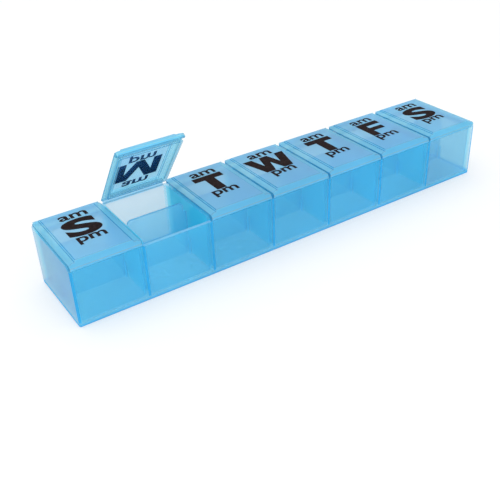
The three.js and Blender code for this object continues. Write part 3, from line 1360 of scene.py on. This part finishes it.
@dataclass
class Legend:
    """The printing on a lid: the day's initial between the marks for morning and evening.

    A span is where a form begins and ends along its lid, and its rows are where it does so
    towards the rear.

    Attributes:
        surface: the height of the panel that it is printed on.
        film: half the thickness of the ink.
        type_size: the size at which a word is set before it is fitted to its place.
        letter_weight: how much the letters are thickened, as a share of their size.
        letter_shapes: the outlines of the letters with straight strokes, as shares of their
            width and height.
    """

    plan: RowPlan
    ink: bpy.types.Material
    surface: float = 28.4
    film: float = 0.03
    type_size: float = 10.0
    letter_weight: float = 0.045
    mark_weight: float = 0.022
    letter_span: dict[str, Span] = field(default_factory=lambda: {
        "S": (7.95, 22.45), "M": (5.2, 24.8), "T": (8.25, 22.35), "W": (4.65, 25.85),
        "F": (9.65, 22.15),
    })
    letter_rows: Span = (-3.4, 10.5)
    mark_span: Span = (9.45, 21.45)
    morning_rows: Span = (11.3, 15.3)
    evening_rows: Span = (-9.4, -3.7)
    letter_shapes: dict[str, tuple[Span, ...]] = field(default_factory=lambda: {
        "M": ((0, 0), (0.19, 0), (0.19, 0.64), (0.41, 0), (0.59, 0), (0.81, 0.64), (0.81, 0),
              (1, 0), (1, 1), (0.71, 1), (0.5, 0.36), (0.29, 1), (0, 1)),
        "W": ((0.17, 0), (0.39, 0), (0.5, 0.56), (0.61, 0), (0.83, 0), (1, 1), (0.79, 1),
              (0.7, 0.42), (0.6, 1), (0.4, 1), (0.3, 0.42), (0.21, 1), (0, 1)),
        "T": ((0.335, 0), (0.665, 0), (0.665, 0.74), (1, 0.74), (1, 1), (0, 1), (0, 0.74),
              (0.335, 0.74)),
        "F": ((0, 0), (0.34, 0), (0.34, 0.36), (0.9, 0.36), (0.9, 0.59), (0.34, 0.59),
              (0.34, 0.76), (1, 0.76), (1, 1), (0, 1)),
    })

    def cut_letter(self, text: str, name: str, span: Span) -> Bench:
        """Cuts a letter with straight strokes from its outline.

        Args:
            text: the letter.
            name: the piece's name.
            span: where it begins and ends along the row, in millimetres.

        Returns:
            The letter as a thin film on the bench.
        """
        low, high = self.letter_rows
        corners = [
            (span[0] + u * (span[1] - span[0]), low + v * (high - low), self.surface - self.film)
            for u, v in self.letter_shapes[text]
        ]
        return Bench.section(name, corners, (0, 0, 2 * self.film))

    def word(self, text: str, name: str, span: Span, rows: Span, weight: float) -> Bench:
        """Sets one word and fits it to its place.

        Args:
            text: the letters.
            name: the piece's name.
            span: where it begins and ends along the row, in millimetres.
            rows: where it begins and ends towards the rear.
            weight: how much the letters are thickened, as a share of their size.

        Returns:
            The word as a thin film on the bench.
        """
        Bench.clear()
        bpy.ops.object.text_add(location=(0, 0, 0))
        letters = bpy.context.object.data
        letters.body = text
        letters.size = self.type_size
        letters.offset = weight * self.type_size
        letters.extrude = self.film
        letters.resolution_u = 10
        bpy.ops.object.convert(target="MESH")
        word = Bench(name)
        xs = [vertex.co.x for vertex in word.piece.data.vertices]
        ys = [vertex.co.y for vertex in word.piece.data.vertices]
        wide = (span[1] - span[0]) / (max(xs) - min(xs))
        tall = (rows[1] - rows[0]) / (max(ys) - min(ys))
        word.edit()
        word.settle(lambda point: Vector((
            span[0] + (point.x - min(xs)) * wide,
            rows[0] + (point.y - min(ys)) * tall,
            self.surface + point.z,
        )))
        bpy.ops.mesh.select_all(action="SELECT")
        bpy.ops.mesh.remove_doubles(threshold=MERGE / 2)
        return word.leave()

    def build(self, day: Day) -> bpy.types.Object:
        """Prints one day's lid.

        Args:
            day: the lid's day.

        Returns:
            The finished print, riding on the lid's body.
        """
        at, name = self.plan.start(day), f"print_{day.key}"
        span, marks = (
            (low + at, high + at) for low, high in (self.letter_span[day.letter], self.mark_span))
        if day.letter in self.letter_shapes:
            letter = self.cut_letter(day.letter, name, span)
        else:
            letter = self.word(day.letter, name, span, self.letter_rows, self.letter_weight)
        letter.take_in([
            self.word("am", f"print_am_{day.key}", marks, self.morning_rows, self.mark_weight),
            self.word("pm", f"print_pm_{day.key}", marks, self.evening_rows, self.mark_weight),
        ])
        if day is self.plan.open_day:
            letter.turn(self.plan.opening())
        piece = letter.finish(self.ink, smooth_under=20)
        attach(piece, f"lid_{day.key}")
        return piece


# The studio


@dataclass(frozen=True)
class Softbox:
    """A large lamp that faces the object, placed in metres, with its power in watts."""

    name: str
    place: Point
    size: Span
    power: float

    def hang(self) -> None:
        """Hangs the lamp and turns it to the middle of the scene."""
        data = bpy.data.lights.new(self.name, "AREA")
        data.shape = "RECTANGLE"
        data.size, data.size_y = self.size
        data.energy = self.power
        lamp = bpy.data.objects.new(self.name, data)
        lamp.location = self.place
        lamp.rotation_mode = "QUATERNION"
        lamp.rotation_quaternion = (-Vector(self.place)).to_track_quat("-Z", "Y")
        bpy.context.scene.collection.objects.link(lamp)


@dataclass
class Studio:
    """A pale floor, plain soft light and the camera at the photograph's angle.

    Attributes:
        lens: the camera's focal length in millimetres.
        place: where the camera stands, in metres.
        turn: how it is turned, as a quaternion.
        floor_drop: how far the floor lies under the feet of the object.
        floor_glow: how much of the floor is plain white where the camera looks at it.
        sky: the strength of the light from all round.
    """

    lens: float = 53.401
    place: Point = (-0.168854, -0.241081, 0.173368)
    turn: tuple[float, float, float, float] = (0.836608, 0.4635391, -0.1239737, -0.2642898)
    floor_size: float = 6.0
    floor_drop: float = 0.0002
    floor_colour: Colour = (0.93, 0.93, 0.93)
    floor_glow: float = 0.35
    sky: float = 1.0
    lamps: tuple[Softbox, ...] = (
        Softbox("key", (-0.25, 0.15, 0.75), (0.7, 0.5), 1.0),
        Softbox("fill", (-0.1, -0.9, 0.45), (0.9, 0.6), 2.0),
    )

    def build_camera(self) -> None:
        """Sets up the camera."""
        data = bpy.data.cameras.new("camera")
        data.lens = self.lens
        data.sensor_width = 36.0
        data.clip_start, data.clip_end = 0.01, 20
        camera = bpy.data.objects.new("camera", data)
        camera.location = self.place
        camera.rotation_mode = "QUATERNION"
        camera.rotation_quaternion = Quaternion(self.turn)
        bpy.context.scene.collection.objects.link(camera)
        bpy.context.scene.camera = camera

    def seen_white(self, nodes: Nodes) -> bpy.types.Node:
        """Adds what is 1 for a ray that looks at the background, and 0 for one that lights."""
        path = nodes.add("ShaderNodeLightPath", 0, 2)
        first = nodes.add("ShaderNodeMath", 1, 2, operation="MAXIMUM")
        second = nodes.add("ShaderNodeMath", 2, 2, operation="MAXIMUM")
        nodes.join(
            (path, "Is Camera Ray", first, 0),
            (path, "Is Glossy Ray", first, 1),
            (first, "Value", second, 0),
            (path, "Is Transmission Ray", second, 1),
        )
        return second

    def build_world(self) -> None:
        """Sets up the light from all round, seen as plain white."""
        world = bpy.data.worlds.new("studio")
        bpy.context.scene.world = world
        world.use_nodes = True
        nodes = Nodes(world.node_tree)
        seen = self.seen_white(nodes)
        light = nodes.add("ShaderNodeBackground", 3, 0, {
            "Color": (0.97, 0.985, 1, 1), "Strength": self.sky,
        })
        white = nodes.add("ShaderNodeBackground", 3, 1, {"Color": WHITE, "Strength": 1})
        mix = nodes.add("ShaderNodeMixShader", 4)
        out = nodes.add("ShaderNodeOutputWorld", 5)
        nodes.join(
            (seen, "Value", mix, "Fac"),
            (light, "Background", mix, 1),
            (white, "Background", mix, 2),
            (mix, "Shader", out, "Surface"),
        )

    def build_floor(self) -> None:
        """Lays the floor, which looks white and keeps a soft shadow."""
        Bench.clear()
        bpy.ops.mesh.primitive_plane_add(size=self.floor_size, location=(0, 0, -self.floor_drop))
        floor = bpy.context.object
        floor.name = "floor"
        bpy.ops.object.transform_apply(location=True, rotation=True, scale=True)
        material, nodes = start_material("pale floor")
        place = nodes.add("ShaderNodeTexCoord", 0)
        paper = nodes.add("ShaderNodeTexNoise", 1, 0, {"Scale": 300})
        bump = nodes.add("ShaderNodeBump", 2, 1, {"Strength": 0.05, "Distance": 0.0001})
        card = nodes.add("ShaderNodeBsdfPrincipled", 3, 0, {
            "Base Color": (*self.floor_colour, 1), "Roughness": 0.9, "Specular IOR Level": 0.1,
        })
        glow = nodes.add("ShaderNodeEmission", 3, 2, {"Color": WHITE, "Strength": 1})
        seen = self.seen_white(nodes)
        share = nodes.add("ShaderNodeMath", 4, 2, {1: self.floor_glow}, operation="MULTIPLY")
        mix = nodes.add("ShaderNodeMixShader", 5)
        out = nodes.add("ShaderNodeOutputMaterial", 6)
        nodes.join(
            (place, "Object", paper, "Vector"),
            (paper, "Fac", bump, "Height"),
            (bump, "Normal", card, "Normal"),
            (seen, "Value", share, 0),
            (share, "Value", mix, "Fac"),
            (card, "BSDF", mix, 1),
            (glow, "Emission", mix, 2),
            (mix, "Shader", out, "Surface"),
        )
        floor.data.materials.append(material)

    def build(self) -> None:
        """Builds the whole studio."""
        bpy.context.scene.view_settings.view_transform = "Standard"
        bpy.context.scene.cycles.transparent_max_bounces = 32
        self.build_camera()
        self.build_world()
        self.build_floor()
        for lamp in self.lamps:
            lamp.hang()


def report(piece: bpy.types.Object) -> None:
    """Reports a finished piece."""
    log.info("%s: %d faces", piece.name, len(piece.data.polygons))


def main() -> None:
    """Builds the studio and the organizer, and reports each piece."""
    Studio().build()
    plan = RowPlan()
    plastic = TintedPlastic("blue plastic").material()
    web_shade = Shade((0.85, 0.95, 0.98), (0.5, 0.8, 0.95), 0.55)
    web_plastic = TintedPlastic("web plastic", web_shade).material()
    ink = PrintedInk().material()

    report(Tray(plan, plastic).build())
    lids = Lid(plan, plastic)
    pattern = lids.build(Day.MONDAY)
    for day in Day:
        if day in (Day.SUNDAY, Day.SATURDAY):
            report(lids.mount(lids.build(day), day))
        elif day is not Day.MONDAY:
            shift = plan.start(day) - plan.start(Day.MONDAY)
            report(lids.mount(pattern.twin(f"lid_cover_{day.key}", (shift, 0, 0)), day))
    report(lids.mount(pattern, Day.MONDAY))
    makers = (Divider(plan, plastic), HingeWeb(plan, web_plastic), Legend(plan, ink))
    for day in Day:
        for maker in makers:
            report(maker.build(day))


if __name__ == "__main__":
    main()
